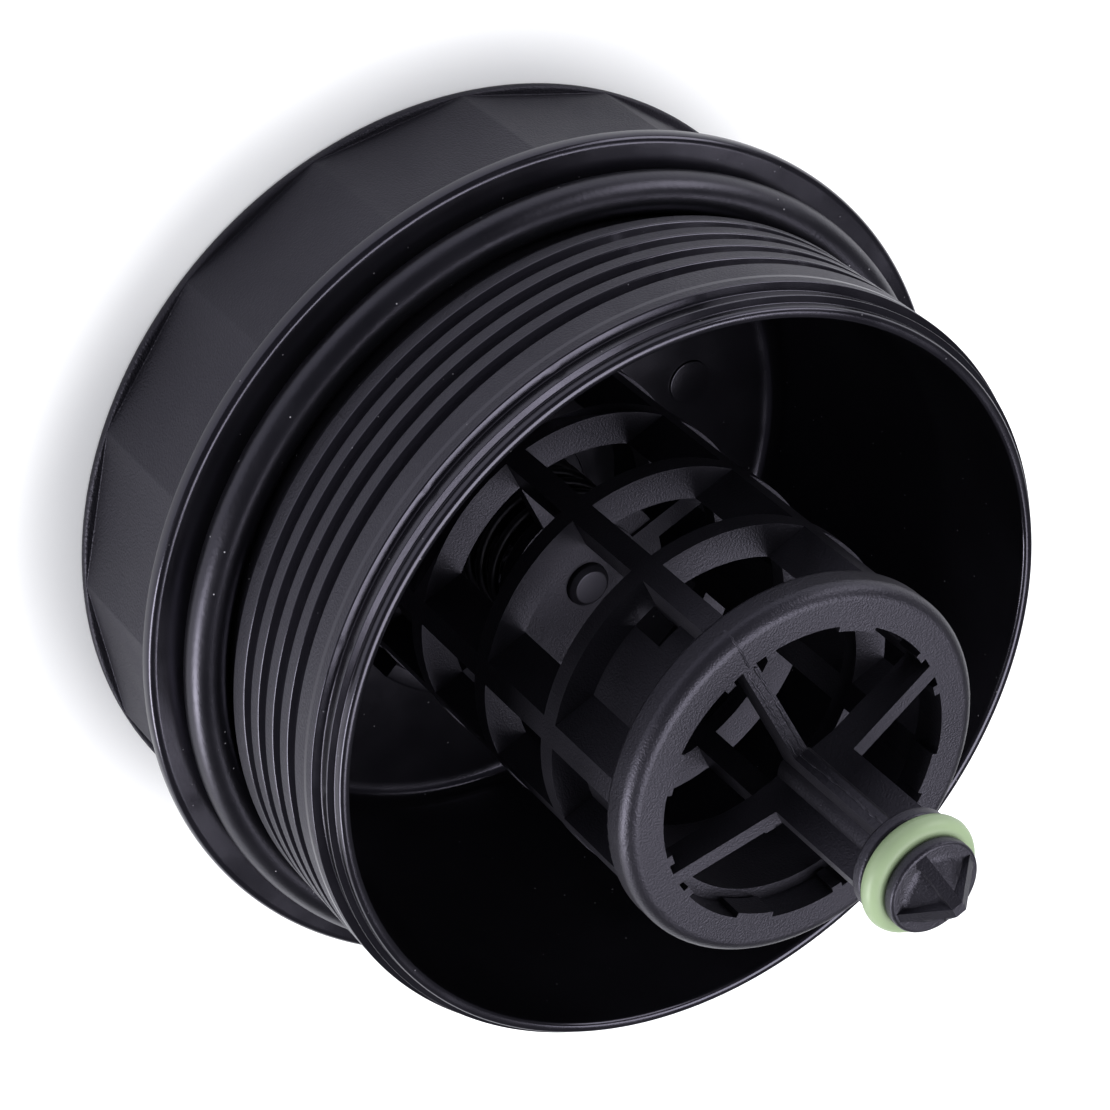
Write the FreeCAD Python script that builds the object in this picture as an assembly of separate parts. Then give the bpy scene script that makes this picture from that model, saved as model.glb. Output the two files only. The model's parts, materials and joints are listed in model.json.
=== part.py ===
import FreeCAD, Part
import math
import os

from FreeCAD import Vector

# Screw-on housing cap of a small engine's oil filter, with the cage that carries the filter
# element, the drain pin that plugs the housing's drain, and the bypass valve in the cage's foot.
#
# Frame, in millimetres: +Z runs along the cap's axis from the closed grip end to the tip of the
# drain pin. The origin is the centre of the closed end's outer face, which the cap stands on.
# +X runs through the bars where the cage's two mould halves meet, and the halves pull along Y.

AXIS = Vector(0, 0, 1)
ORIGIN = Vector(0, 0, 0)

# ---- cap: grip and flange ---------------------------------------------------------------
GRIP_ACROSS_FLATS = 86.0
GRIP_FLATS = 16
GRIP_CORNER_ANGLE = -3.5          # where one corner of the grip stands against the cage at rest
GRIP_LENGTH = 19.8
GRIP_RIM_STAND_OUT = 0.1          # how far the round rim at the closed end passes the corners
GRIP_RIM_THICKNESS = 1.2
GRIP_RIM_ROUND = 0.5
GRIP_CORNER_ROUND = 0.9
END_WALL = 4.0
END_RECESS_R = 33.0
END_RECESS_DEPTH = 0.8
GATE_NUB_R = 2.0
FLANGE_OVERHANG = 2.76            # how far the flange stands out past the grip's corners
FLANGE_THICKNESS = 2.1
FLANGE_ROUND = 0.8

# ---- cap: O-ring gland and skirt --------------------------------------------------------
CAP_LENGTH = 48.0                 # closed end to the rim of the skirt
GLAND_LENGTH = 6.1
GLAND_BOTTOM_R = 39.6
CAP_ORING_SECTION = 4.3
CAP_ORING_SIDE_GAP = 0.25
RUBBER_SEAT_GAP = 0.02            # keeps a ring's inner line clear of the groove it sits in
SHOULDER_R = 40.7
SHOULDER_LENGTH = 0.8
THREAD_MAJOR_R = 41.1
THREAD_PITCH = 3.0
THREAD_DEPTH = 1.1
THREAD_GROOVE_WIDTH = 1.5
THREAD_ROOT_WIDTH = 0.35
THREAD_TURNS = 4.1
THREAD_FIRST_Z = 29.9             # height of the groove's closed end
THREAD_FIRST_ANGLE = -161.0
THREAD_GATE_WIDTH = 20.0          # degrees of band cut away where the housing's thread enters
THREAD_GATE_OVERLAP = 1.0         # degrees of groove that the gap takes in
LEAD_LENGTH = 3.1                 # plain end in front of the threaded band
LEAD_R = 40.2
BAND_CHAMFER = 0.25
BEAD_R = 40.4
BEAD_WIDTH = 0.45
LIP_R = 39.75
LIP_LENGTH = 1.1
LIP_ROUND = 0.45
MOUTH_R = 38.6
BORE_DRAFT = 0.9                  # how much narrower the bore is at its floor
BORE_FLOOR_ROUND = 2.0
EJECTOR_PAD_R = 2.5
EJECTOR_PAD_CIRCLE_R = 27.0
EJECTOR_PAD_HEIGHT = 0.25
EJECTOR_PAD_ANGLE = 256.0

# ---- cap: snap fingers that hold the cage -------------------------------------------------
FINGER_COUNT = 4
FINGER_ANGLE = 50.0
FINGER_THICKNESS = 1.8
FINGER_FIRST_ANGLE = 45.0
PAD_ANGLE = 30.0
PAD_INNER_R = 13.0
SNAP_GAP = 0.3                    # play between the cap and the cage that turns in it

# ---- cage: tube, bars and windows -------------------------------------------------------
CAGE_PROJECTION = 17.3            # how far the front ring stands out of the skirt's rim
RING_R = 19.7
RING_THICKNESS = 3.6
RING_ROUND = 1.5
RING_BACK_ROUND = 0.5
TUBE_R = 19.1
TUBE_BORE_R = 15.65
WINDOW_ROWS = 4
WINDOW_LENGTH = 10.5
HOOP_THICKNESS = 2.0
SPLIT_BAR_THICKNESS = 2.4
SIDE_BAR_OUTER_X = 11.5
SIDE_BAR_THICKNESS = 2.1
MIDDLE_BAR_THICKNESS = 2.1
PANEL_THICKNESS = 1.4             # inner wall that closes the front windows on one side
PANEL_NOTCH_ANGLE = 10.0
PANEL_NOTCH_LENGTH = 4.2
GATE_WELL_R = 2.4
GATE_WELL_DEPTH = 0.8
GATE_STUB_R = 1.0
GATE_STUB_LENGTH = 0.5
LUG_ANGLE = 16.0
LUG_DEPTH = 0.55
LUG_LENGTH = 2.8
TOOTH_ANGLE = 4.0
TOOTH_OFFSET_ANGLE = 9.0

# ---- cage: foot ----------------------------------------------------------------------------
FOOT_Z = 5.7
FOOT_R = 19.3
FOOT_HEIGHT = 2.6
NECK_R = 18.1
NECK_HEIGHT = 2.6
FOOT_BORE_R = 14.6
SEAT_POCKET_R = 16.1
SEAT_POCKET_DEPTH = 2.2

# ---- drain pin ----------------------------------------------------------------------------
ARM_COUNT = 4
ARM_WIDTH = 1.55
ARM_DEPTH = 3.4
ARM_RISE = 2.0                    # how much higher the arms stand at the hub than at the ring
PIN_RIB_REACH = 4.7
PIN_RIB_THICKNESS = 1.55
PIN_CORE_R = 2.2
PIN_LENGTH = 24.0                 # front ring's face to the tip
PIN_SHAFT_LENGTH = 15.1           # front ring's face to the rear disc
REAR_DISC_R = 5.4
REAR_DISC_THICKNESS = 1.4
PIN_ORING_SECTION = 2.4
PIN_ORING_OUTER_R = 6.0
PIN_GROOVE_SIDE_GAP = 0.1
FRONT_DISC_R = 4.75
FRONT_DISC_THICKNESS = 1.3
DISC_ROUND = 0.35
TIP_RIB_THICKNESS = 1.15
TIP_RIB_BASE = 4.3
TIP_RIB_END = 0.55
TIP_CORE_R = 3.6                  # cone between the tip's ribs
TIP_CORE_HEIGHT = 2.8

# ---- bypass valve ---------------------------------------------------------------------------
SEAT_BORE_R = 7.2
SEAT_LIP_INNER_R = 7.8
SEAT_LIP_OUTER_R = 8.6
SEAT_LIP_HEIGHT = 0.6
SEAT_LIP_TAPER = 0.2
PLUNGER_REST_GAP = 0.1
PLUNGER_DISC_R = 9.6
PLUNGER_DISC_THICKNESS = 1.6
PLUNGER_NOSE_R = 6.4
PLUNGER_NOSE_DEPTH = 1.6
SPIGOT_R = 6.6
SPIGOT_HEIGHT = 1.2
STEM_R = 2.3
STEM_STAND_OUT = 1.0              # stem beyond the guide when the valve is shut
STEM_CHAMFER = 0.5
GUIDE_FIT = 0.08
GUIDE_PLATE_R = 9.2
GUIDE_PLATE_THICKNESS = 1.6
GUIDE_ARM_WIDTH = 2.2
SPRING_WIRE = 1.2
SPRING_MEAN_R = 7.65
SPRING_COILS = 5.0
SPRING_END_GAP = 0.05

# ---- how solids are put together and cut ---------------------------------------------------
JOIN_OVERLAP = 0.5                # how deep a joined piece runs into its neighbour
CUT_REACH = 1.0                   # how far a cutter runs past the face that it opens

# ---- places worked out from the sizes above -----------------------------------------------
corner_r = GRIP_ACROSS_FLATS / 2 / math.cos(math.pi / GRIP_FLATS)
flange_r = corner_r + FLANGE_OVERHANG
flange_front = GRIP_LENGTH + FLANGE_THICKNESS
gland_front = flange_front + GLAND_LENGTH
band_front = CAP_LENGTH - LEAD_LENGTH
ring_face = CAP_LENGTH + CAGE_PROJECTION
ring_back = ring_face - RING_THICKNESS
row_step = WINDOW_LENGTH + HOOP_THICKNESS
foot_top = FOOT_Z + FOOT_HEIGHT
neck_top = foot_top + NECK_HEIGHT
last_window_end = ring_back - WINDOW_ROWS * row_step + HOOP_THICKNESS
guide_z = ring_back - (WINDOW_ROWS - 1) * row_step
seat_face = FOOT_Z + SEAT_POCKET_DEPTH
disc_bottom = seat_face + SEAT_LIP_HEIGHT + PLUNGER_REST_GAP
disc_top = disc_bottom + PLUNGER_DISC_THICKNESS
rear_disc_z = ring_face + PIN_SHAFT_LENGTH
pin_groove_z = rear_disc_z + REAR_DISC_THICKNESS
pin_groove_end = pin_groove_z + PIN_ORING_SECTION + 2 * PIN_GROOVE_SIDE_GAP
tip_z = ring_face + PIN_LENGTH


def lathe(points, degrees=360.0):
    """Solid turned about Z from an outline of (radius, height) points."""
    outline = [Vector(r, 0, z) for r, z in points]
    face = Part.Face(Part.makePolygon(outline + outline[:1]))
    return face.revolve(ORIGIN, AXIS, degrees)


def ring(inner_r, outer_r, low_z, high_z):
    """Plain ring between two radii and two heights."""
    return lathe([(inner_r, low_z), (outer_r, low_z), (outer_r, high_z), (inner_r, high_z)])


def disc(radius, low_z, high_z):
    """Plain disc on the axis."""
    return Part.makeCylinder(radius, high_z - low_z, Vector(0, 0, low_z))


def sector(points, middle, width):
    """Piece of a turned ring, width degrees wide, centred on the angle middle."""
    return turned(lathe(points, width), middle - width / 2)


def turned(shape, angle):
    """Copy of a shape, turned about Z."""
    copy = shape.copy()
    copy.rotate(ORIGIN, AXIS, angle)
    return copy


def box(low, high):
    """Box between two corners."""
    return Part.makeBox(high[0] - low[0], high[1] - low[1], high[2] - low[2], Vector(*low))


def blade(points, thickness):
    """Flat rib of the given thickness, centred on the XZ plane, with an (x, z) outline."""
    outline = [Vector(x, -thickness / 2, z) for x, z in points]
    return Part.Face(Part.makePolygon(outline + outline[:1])).extrude(Vector(0, thickness, 0))


def joined(first, *others):
    """One solid from several that overlap or touch."""
    return first.fuse(list(others)).removeSplitter()


def round_rims(shape, radius, rims):
    """Round the full-circle edges that lie at the given (radius, height) places."""
    def is_rim(edge):
        extent = edge.BoundBox
        for r, z in rims:
            flat = abs(extent.ZMin - z) < 1e-4 and abs(extent.ZMax - z) < 1e-4
            if flat and abs(edge.Length - 2 * math.pi * r) < 1e-3:
                return True
        return False
    return shape.makeFillet(radius, [edge for edge in shape.Edges if is_rim(edge)])


def o_ring(centre_r, section, centre_z):
    """Round-section rubber ring."""
    return Part.makeTorus(centre_r, section / 2, Vector(0, 0, centre_z), AXIS)


def save(shape, name):
    """Write one sub-part, which is one closed solid."""
    solid = shape.Solids[0]
    if len(shape.Solids) != 1 or not solid.isValid():
        raise ValueError("%s has %d solids or is not valid" % (name, len(shape.Solids)))
    solid.exportStep("parts/%s.step" % name)
    return solid


# ---- cap body -------------------------------------------------------------------------------

def grip():
    """Sixteen-sided grip with rounded corners, closed by a round rim that its flats run out on."""
    low = GRIP_RIM_THICKNESS / 2
    corners = []
    for index in range(GRIP_FLATS + 1):
        angle = math.radians(GRIP_CORNER_ANGLE + index * 360.0 / GRIP_FLATS)
        corners.append(Vector(corner_r * math.cos(angle), corner_r * math.sin(angle), low))
    height = GRIP_LENGTH + FLANGE_THICKNESS / 2 - low
    body = Part.Face(Part.makePolygon(corners)).extrude(Vector(0, 0, height))
    upright = [edge for edge in body.Edges if abs(edge.tangentAt(edge.FirstParameter).z) > 0.9]
    body = body.makeFillet(GRIP_CORNER_ROUND, upright)
    rim_r = corner_r + GRIP_RIM_STAND_OUT
    rim = round_rims(
        disc(rim_r, 0.0, GRIP_RIM_THICKNESS), GRIP_RIM_ROUND, [(rim_r, 0.0), (rim_r, GRIP_RIM_THICKNESS)]
    )
    return joined(body, rim)


def skirt():
    """Flange, O-ring gland, shoulder, thread band, plain lead and lip, turned in one piece."""
    lead_bead = CAP_LENGTH - LIP_LENGTH - BEAD_WIDTH
    body = lathe([
        (0, GRIP_LENGTH - FLANGE_THICKNESS),
        (MOUTH_R, GRIP_LENGTH - FLANGE_THICKNESS),
        (MOUTH_R, GRIP_LENGTH),
        (flange_r, GRIP_LENGTH),
        (flange_r, flange_front),
        (GLAND_BOTTOM_R, flange_front),
        (GLAND_BOTTOM_R, gland_front),
        (SHOULDER_R, gland_front),
        (SHOULDER_R, gland_front + SHOULDER_LENGTH),
        (THREAD_MAJOR_R, gland_front + SHOULDER_LENGTH),
        (THREAD_MAJOR_R, band_front),
        (LEAD_R, band_front + BAND_CHAMFER),
        (LEAD_R, lead_bead),
        (BEAD_R, lead_bead + BEAD_WIDTH / 3),
        (BEAD_R, lead_bead + BEAD_WIDTH * 2 / 3),
        (LIP_R, CAP_LENGTH - LIP_LENGTH),
        (LIP_R, CAP_LENGTH),
        (0, CAP_LENGTH),
    ])
    return round_rims(body, FLANGE_ROUND, [(flange_r, GRIP_LENGTH), (flange_r, flange_front)])


def thread_groove():
    """Helical groove between the thread's flat crests, open at its front end."""
    half_root = THREAD_ROOT_WIDTH / 2
    slope = (THREAD_GROOVE_WIDTH - THREAD_ROOT_WIDTH) / 2 / THREAD_DEPTH
    half_top = THREAD_GROOVE_WIDTH / 2 + slope * CUT_REACH
    root_r = THREAD_MAJOR_R - THREAD_DEPTH
    top_r = THREAD_MAJOR_R + CUT_REACH
    outline = [(root_r, -half_root), (top_r, -half_top), (top_r, half_top), (root_r, half_root)]
    profile = Part.makePolygon([Vector(r, 0, z) for r, z in outline + outline[:1]])
    path = Part.Wire(Part.makeHelix(THREAD_PITCH, THREAD_PITCH * THREAD_TURNS, root_r))
    groove = path.makePipeShell([profile], True, True)
    groove.translate(Vector(0, 0, THREAD_FIRST_Z))
    return turned(groove, THREAD_FIRST_ANGLE)


def thread_gate():
    """Gap in the front band where the housing's thread enters the groove."""
    end_z = THREAD_FIRST_Z + THREAD_PITCH * THREAD_TURNS - THREAD_GROOVE_WIDTH / 2
    end_angle = THREAD_FIRST_ANGLE + 360.0 * THREAD_TURNS
    root_r = THREAD_MAJOR_R - THREAD_DEPTH
    far_r, far_z = THREAD_MAJOR_R + CUT_REACH, band_front + BAND_CHAMFER + CUT_REACH / 10
    outline = [(root_r, end_z), (far_r, end_z), (far_r, far_z), (root_r, far_z)]
    return sector(outline, end_angle + THREAD_GATE_WIDTH / 2 - THREAD_GATE_OVERLAP, THREAD_GATE_WIDTH)


def bore():
    """Space inside the cap, with a rounded floor edge."""
    hollow = lathe([
        (0, END_WALL),
        (MOUTH_R - BORE_DRAFT, END_WALL),
        (MOUTH_R, CAP_LENGTH),
        (MOUTH_R, CAP_LENGTH + CUT_REACH),
        (0, CAP_LENGTH + CUT_REACH),
    ])
    return round_rims(hollow, BORE_FLOOR_ROUND, [(MOUTH_R - BORE_DRAFT, END_WALL)])


def snap_finger(angle):
    """One hooked finger that holds the cage's foot, with the pad that it turns on."""
    inner_r = FOOT_R + SNAP_GAP
    hook_r = NECK_R + SNAP_GAP
    hook_low = foot_top + SNAP_GAP
    hook_high = neck_top - SNAP_GAP
    root_z = END_WALL - JOIN_OVERLAP
    finger = sector([
        (inner_r, root_z),
        (inner_r + FINGER_THICKNESS, root_z),
        (inner_r + FINGER_THICKNESS, hook_high),
        (inner_r, hook_high),
        (hook_r, (hook_low + hook_high) / 2),
        (hook_r, hook_low),
        (inner_r, hook_low),
    ], angle, FINGER_ANGLE)
    pad_high = FOOT_Z - SNAP_GAP
    pad = sector([
        (PAD_INNER_R, root_z),
        (FOOT_R - SNAP_GAP, root_z),
        (FOOT_R - SNAP_GAP, pad_high),
        (PAD_INNER_R, pad_high),
    ], angle, PAD_ANGLE)
    return [finger, pad]


def cap_body():
    """Grip, flange, threaded skirt and snap fingers, moulded in one piece."""
    shell = joined(grip(), skirt())
    shell = shell.cut([bore(), disc(END_RECESS_R, -CUT_REACH, END_RECESS_DEPTH)])
    shell = round_rims(shell, LIP_ROUND, [(LIP_R, CAP_LENGTH), (MOUTH_R, CAP_LENGTH)])
    shell = shell.cut(thread_groove()).cut(thread_gate())
    additions = [disc(GATE_NUB_R, END_RECESS_DEPTH / 2, END_WALL / 2)]
    for index in range(FINGER_COUNT):
        step = index * 360.0 / FINGER_COUNT
        additions += snap_finger(FINGER_FIRST_ANGLE + step)
        pad = disc(EJECTOR_PAD_R, END_WALL - JOIN_OVERLAP, END_WALL + EJECTOR_PAD_HEIGHT)
        pad.translate(Vector(EJECTOR_PAD_CIRCLE_R, 0, 0))
        additions.append(turned(pad, EJECTOR_PAD_ANGLE + step))
    return joined(shell, *additions)


# ---- support cage ---------------------------------------------------------------------------

def cage_tube():
    """Tube with its foot, snap neck and valve pocket, before the windows are cut."""
    return lathe([
        (SEAT_POCKET_R, FOOT_Z),
        (FOOT_R, FOOT_Z),
        (FOOT_R, foot_top),
        (NECK_R, foot_top),
        (NECK_R, neck_top),
        (TUBE_R, neck_top),
        (TUBE_R, ring_back),
        (TUBE_BORE_R, ring_back),
        (TUBE_BORE_R, last_window_end),
        (FOOT_BORE_R, last_window_end - (TUBE_BORE_R - FOOT_BORE_R)),
        (FOOT_BORE_R, seat_face),
        (SEAT_POCKET_R, seat_face),
    ])


def front_ring():
    """Rounded ring at the cage's open end."""
    body = ring(TUBE_BORE_R, RING_R, ring_back, ring_face)
    body = round_rims(body, RING_ROUND, [(RING_R, ring_face)])
    return round_rims(body, RING_BACK_ROUND, [(RING_R, ring_back)])


def window_cutters(row):
    """Cutters for one row of windows; their flanks lie along Y, the way the mould halves pull."""
    high = ring_back - row * row_step
    low = high - WINDOW_LENGTH
    far = TUBE_R + CUT_REACH
    inside = TUBE_BORE_R / 2
    inner_x = SIDE_BAR_OUTER_X - SIDE_BAR_THICKNESS
    cutters = []
    for side_x in (-1, 1):
        for side_y in (-1, 1):
            for near_x, far_x, near_y in (
                (MIDDLE_BAR_THICKNESS / 2, inner_x, inside),
                (SIDE_BAR_OUTER_X, far, SPLIT_BAR_THICKNESS / 2),
            ):
                xs = sorted((side_x * near_x, side_x * far_x))
                ys = sorted((side_y * near_y, side_y * far))
                cutters.append(box((xs[0], ys[0], low), (xs[1], ys[1], high)))
    return cutters


def front_panel():
    """Inner wall behind the front row of windows on the +Y side, with the mould's gate well."""
    low = ring_back - WINDOW_LENGTH - HOOP_THICKNESS / 2
    high = ring_back + JOIN_OVERLAP
    inner_r = TUBE_BORE_R - PANEL_THICKNESS
    panel = sector([(inner_r, low), (TUBE_BORE_R, low), (TUBE_BORE_R, high), (inner_r, high)], 90.0, 180.0)
    notch_high = ring_back - WINDOW_LENGTH + PANEL_NOTCH_LENGTH
    notch = [
        (inner_r - CUT_REACH, low - CUT_REACH),
        (TUBE_BORE_R + CUT_REACH, low - CUT_REACH),
        (TUBE_BORE_R + CUT_REACH, notch_high),
        (inner_r - CUT_REACH, notch_high),
    ]
    first_angle = math.degrees(math.asin(SPLIT_BAR_THICKNESS / 2 / TUBE_BORE_R))
    for middle in (first_angle + PANEL_NOTCH_ANGLE / 2, 180.0 - first_angle - PANEL_NOTCH_ANGLE / 2):
        panel = panel.cut(sector(notch, middle, PANEL_NOTCH_ANGLE))
    return panel


def gate_well():
    """Cutter and stub of the round gate mark in the panel between two bars."""
    well_x = (MIDDLE_BAR_THICKNESS / 2 + SIDE_BAR_OUTER_X - SIDE_BAR_THICKNESS) / 2
    well_z = ring_back - WINDOW_LENGTH / 2
    floor_y = math.sqrt(TUBE_BORE_R ** 2 - well_x ** 2) - GATE_WELL_DEPTH
    well = Part.makeCylinder(GATE_WELL_R, TUBE_BORE_R, Vector(well_x, floor_y, well_z), Vector(0, 1, 0))
    stub = Part.makeCylinder(
        GATE_STUB_R, GATE_STUB_LENGTH + JOIN_OVERLAP,
        Vector(well_x, floor_y - JOIN_OVERLAP, well_z), Vector(0, 1, 0),
    )
    return well, stub


def ring_lugs():
    """Shallow lugs inside the front ring, between the arms, and the teeth beside each arm."""
    inner_r = TUBE_BORE_R - LUG_DEPTH
    outline = [
        (inner_r, ring_face - LUG_LENGTH),
        (TUBE_BORE_R + JOIN_OVERLAP, ring_face - LUG_LENGTH),
        (TUBE_BORE_R + JOIN_OVERLAP, ring_face),
        (inner_r, ring_face),
    ]
    step = 360.0 / ARM_COUNT
    lugs = []
    for index in range(ARM_COUNT):
        lugs.append(sector(outline, (index + 0.5) * step, LUG_ANGLE))
        for side in (-1, 1):
            lugs.append(sector(outline, index * step + side * TOOTH_OFFSET_ANGLE, TOOTH_ANGLE))
    return lugs


def spider_arm():
    """One arm from the front ring to the drain pin; its top rises towards the pin."""
    root_r = TUBE_BORE_R + JOIN_OVERLAP
    return blade([
        (0, ring_face + ARM_RISE - ARM_DEPTH),
        (PIN_RIB_REACH, ring_face + ARM_RISE - ARM_DEPTH),
        (root_r, ring_face - ARM_DEPTH),
        (root_r, ring_face),
        (TUBE_BORE_R, ring_face),
        (PIN_RIB_REACH, ring_face + ARM_RISE),
        (0, ring_face + ARM_RISE),
    ], ARM_WIDTH)


def drain_pin():
    """Ribbed pin with the groove for its O-ring and a ribbed tip."""
    ribs_low = ring_face + ARM_RISE - ARM_DEPTH
    groove_r = PIN_ORING_OUTER_R - PIN_ORING_SECTION - RUBBER_SEAT_GAP
    tip_base = pin_groove_end + FRONT_DISC_THICKNESS
    rear = round_rims(
        disc(REAR_DISC_R, rear_disc_z, pin_groove_z), DISC_ROUND,
        [(REAR_DISC_R, rear_disc_z), (REAR_DISC_R, pin_groove_z)],
    )
    front = round_rims(
        disc(FRONT_DISC_R, pin_groove_end, tip_base), DISC_ROUND,
        [(FRONT_DISC_R, pin_groove_end), (FRONT_DISC_R, tip_base)],
    )
    pieces = [
        disc(PIN_CORE_R, ribs_low, rear_disc_z + REAR_DISC_THICKNESS / 2),
        rear,
        disc(groove_r, rear_disc_z + REAR_DISC_THICKNESS / 2, pin_groove_end + FRONT_DISC_THICKNESS / 2),
        front,
        lathe([
            (0, tip_base - FRONT_DISC_THICKNESS / 2),
            (TIP_CORE_R, tip_base - FRONT_DISC_THICKNESS / 2),
            (TIP_CORE_R, tip_base),
            (0, tip_base + TIP_CORE_HEIGHT),
        ]),
    ]
    long_rib = [
        (-PIN_RIB_REACH, ribs_low),
        (PIN_RIB_REACH, ribs_low),
        (PIN_RIB_REACH, rear_disc_z + REAR_DISC_THICKNESS / 2),
        (-PIN_RIB_REACH, rear_disc_z + REAR_DISC_THICKNESS / 2),
    ]
    tip_rib = [
        (-TIP_RIB_BASE, tip_base - FRONT_DISC_THICKNESS / 2),
        (TIP_RIB_BASE, tip_base - FRONT_DISC_THICKNESS / 2),
        (TIP_RIB_BASE, tip_base),
        (TIP_RIB_END, tip_z),
        (-TIP_RIB_END, tip_z),
        (-TIP_RIB_BASE, tip_base),
    ]
    for angle in (0.0, 90.0):
        pieces.append(turned(blade(long_rib, PIN_RIB_THICKNESS), angle))
        pieces.append(turned(blade(tip_rib, TIP_RIB_THICKNESS), angle))
    return pieces


def stem_guide():
    """Web across the rearmost hoop: a plate that the spring pushes on and the stem slides in."""
    arms_high = guide_z + HOOP_THICKNESS
    plate = [
        disc(GUIDE_PLATE_R, guide_z, guide_z + GUIDE_PLATE_THICKNESS),
        disc(SPIGOT_R, guide_z - SPIGOT_HEIGHT, arms_high),
    ]
    arm = blade([
        (0, guide_z), (TUBE_BORE_R + JOIN_OVERLAP, guide_z),
        (TUBE_BORE_R + JOIN_OVERLAP, arms_high), (0, arms_high),
    ], GUIDE_ARM_WIDTH)
    arms = [turned(arm, index * 90.0) for index in range(4)]
    hole = disc(STEM_R + GUIDE_FIT, guide_z - SPIGOT_HEIGHT - CUT_REACH, arms_high + CUT_REACH)
    return joined(*plate, *arms).cut(hole)


def support_cage():
    """Cage, front ring, arms and drain pin, moulded in one piece."""
    tube = cage_tube()
    for row in range(WINDOW_ROWS):
        tube = tube.cut(window_cutters(row))
    well, stub = gate_well()
    panel = front_panel().cut(well)
    arms = [turned(spider_arm(), index * 360.0 / ARM_COUNT) for index in range(ARM_COUNT)]
    return joined(tube, front_ring(), panel, stub, *ring_lugs(), *arms, *drain_pin(), stem_guide())


# ---- bypass valve and seals -----------------------------------------------------------------

def valve_seat_ring():
    """Ring pressed into the cage's foot, with the raised lip that the plunger closes on."""
    return lathe([
        (SEAT_BORE_R, FOOT_Z),
        (SEAT_POCKET_R, FOOT_Z),
        (SEAT_POCKET_R, seat_face),
        (SEAT_LIP_OUTER_R, seat_face),
        (SEAT_LIP_OUTER_R - SEAT_LIP_TAPER, seat_face + SEAT_LIP_HEIGHT),
        (SEAT_LIP_INNER_R, seat_face + SEAT_LIP_HEIGHT),
        (SEAT_BORE_R, seat_face),
    ])


def bypass_plunger():
    """Disc that closes the seat, with a nose below and a guide stem above."""
    stem_top = guide_z + HOOP_THICKNESS + STEM_STAND_OUT
    return lathe([
        (0, disc_bottom - PLUNGER_NOSE_DEPTH),
        (PLUNGER_NOSE_R / 2, disc_bottom - PLUNGER_NOSE_DEPTH),
        (PLUNGER_NOSE_R, disc_bottom),
        (PLUNGER_DISC_R, disc_bottom),
        (PLUNGER_DISC_R, disc_top),
        (SPIGOT_R, disc_top),
        (SPIGOT_R, disc_top + SPIGOT_HEIGHT),
        (STEM_R, disc_top + SPIGOT_HEIGHT),
        (STEM_R, stem_top - STEM_CHAMFER),
        (STEM_R - STEM_CHAMFER, stem_top),
        (0, stem_top),
    ])


def bypass_spring():
    """Coil spring between the plunger's disc and the stem guide."""
    low = disc_top + SPRING_END_GAP + SPRING_WIRE / 2
    high = guide_z - SPRING_END_GAP - SPRING_WIRE / 2
    path = Part.Wire(Part.makeHelix((high - low) / SPRING_COILS, high - low, SPRING_MEAN_R))
    wire = Part.Wire(Part.makeCircle(SPRING_WIRE / 2, Vector(SPRING_MEAN_R, 0, 0), Vector(0, 1, 0)))
    coil = path.makePipeShell([wire], True, True)
    coil.translate(Vector(0, 0, low))
    return coil


def cap_o_ring():
    """Main seal in the gland behind the thread."""
    centre_r = GLAND_BOTTOM_R + RUBBER_SEAT_GAP + CAP_ORING_SECTION / 2
    return o_ring(centre_r, CAP_ORING_SECTION, flange_front + CAP_ORING_SIDE_GAP + CAP_ORING_SECTION / 2)


def drain_pin_o_ring():
    """Seal in the drain pin's groove."""
    centre_r = PIN_ORING_OUTER_R - PIN_ORING_SECTION / 2
    return o_ring(centre_r, PIN_ORING_SECTION, (pin_groove_z + pin_groove_end) / 2)


os.makedirs("parts", exist_ok=True)
for build in (
    cap_body, cap_o_ring, support_cage, drain_pin_o_ring, valve_seat_ring, bypass_plunger, bypass_spring,
):
    piece = save(build(), build.__name__)
    extent = piece.BoundBox
    print("%-18s %9.1f mm3  z %6.2f to %6.2f" % (build.__name__, piece.Volume, extent.ZMin, extent.ZMax))
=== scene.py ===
import json
import math

import bmesh
import bpy
from mathutils import Matrix, Vector


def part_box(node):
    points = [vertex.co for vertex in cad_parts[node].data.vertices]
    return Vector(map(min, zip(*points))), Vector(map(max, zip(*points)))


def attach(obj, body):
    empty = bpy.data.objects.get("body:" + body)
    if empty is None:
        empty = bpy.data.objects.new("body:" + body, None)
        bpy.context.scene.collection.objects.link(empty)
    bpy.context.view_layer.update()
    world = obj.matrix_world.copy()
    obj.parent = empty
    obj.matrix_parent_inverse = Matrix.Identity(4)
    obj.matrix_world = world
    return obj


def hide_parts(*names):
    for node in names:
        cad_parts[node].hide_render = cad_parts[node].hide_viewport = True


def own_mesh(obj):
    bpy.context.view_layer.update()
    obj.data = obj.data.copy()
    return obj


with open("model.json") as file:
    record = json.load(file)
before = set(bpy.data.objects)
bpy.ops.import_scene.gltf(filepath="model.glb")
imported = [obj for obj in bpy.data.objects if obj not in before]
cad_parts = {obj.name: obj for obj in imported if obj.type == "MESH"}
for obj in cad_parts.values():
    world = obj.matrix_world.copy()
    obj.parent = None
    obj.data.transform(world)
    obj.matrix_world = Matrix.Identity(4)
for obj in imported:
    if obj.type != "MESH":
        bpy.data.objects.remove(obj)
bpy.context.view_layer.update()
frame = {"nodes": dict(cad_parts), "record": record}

# Looks of the screw-on cap of an oil filter housing: the moulded cap with its thread, the cage
# with the drain pin, the two seals, and the bypass valve with its spring. Metres, in the CAD frame:
# +Z from the closed end to the tip of the drain pin.

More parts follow.
